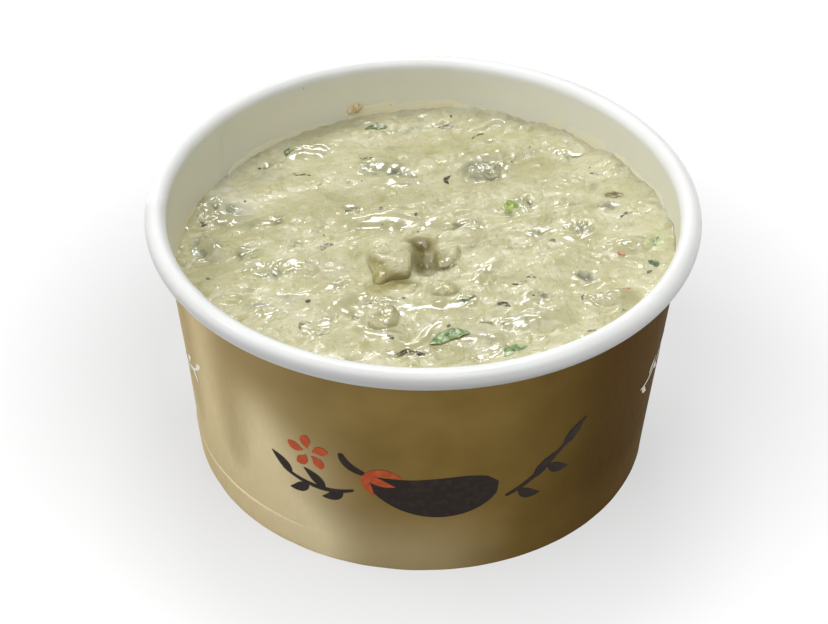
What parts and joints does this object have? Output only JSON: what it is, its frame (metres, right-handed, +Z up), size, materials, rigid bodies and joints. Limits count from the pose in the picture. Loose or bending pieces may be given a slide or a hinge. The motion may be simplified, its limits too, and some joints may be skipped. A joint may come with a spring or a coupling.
{
  "type": "baba ganoush",
  "caption": "Baba ganoush with aubergine pieces and herb flecks, in a round paper tub with a rolled rim.",
  "frame": {"origin": "centre of the ring that the tub stands on, at table level", "axes": "+Z up, along the tub's axis; -Y towards the viewer, at the front of the print"},
  "size_m": [0.097, 0.097, 0.0499],
  "materials": {
    "tub_board": "coated white board, satin",
    "gold_print": "metallic gold ink on coated board, satin",
    "dark_print": "dark brown ink, satin",
    "rust_print": "rust red ink, satin",
    "dip": "wet, oily puree, glossy",
    "aubergine": "wet cooked flesh, glossy",
    "herb": "wet herb leaf and charred skin"
  },
  "bodies": {
    "root": {"tub_wall": "tub_board", "tub_bottom": "tub_board", "dip": "dip", "aubergine_chunk": "aubergine", "aubergine_piece_right": "aubergine", "aubergine_piece_small": "aubergine", "aubergine_piece_front": "aubergine", "aubergine_piece_back": "aubergine"}
  },
  "joints": []
}
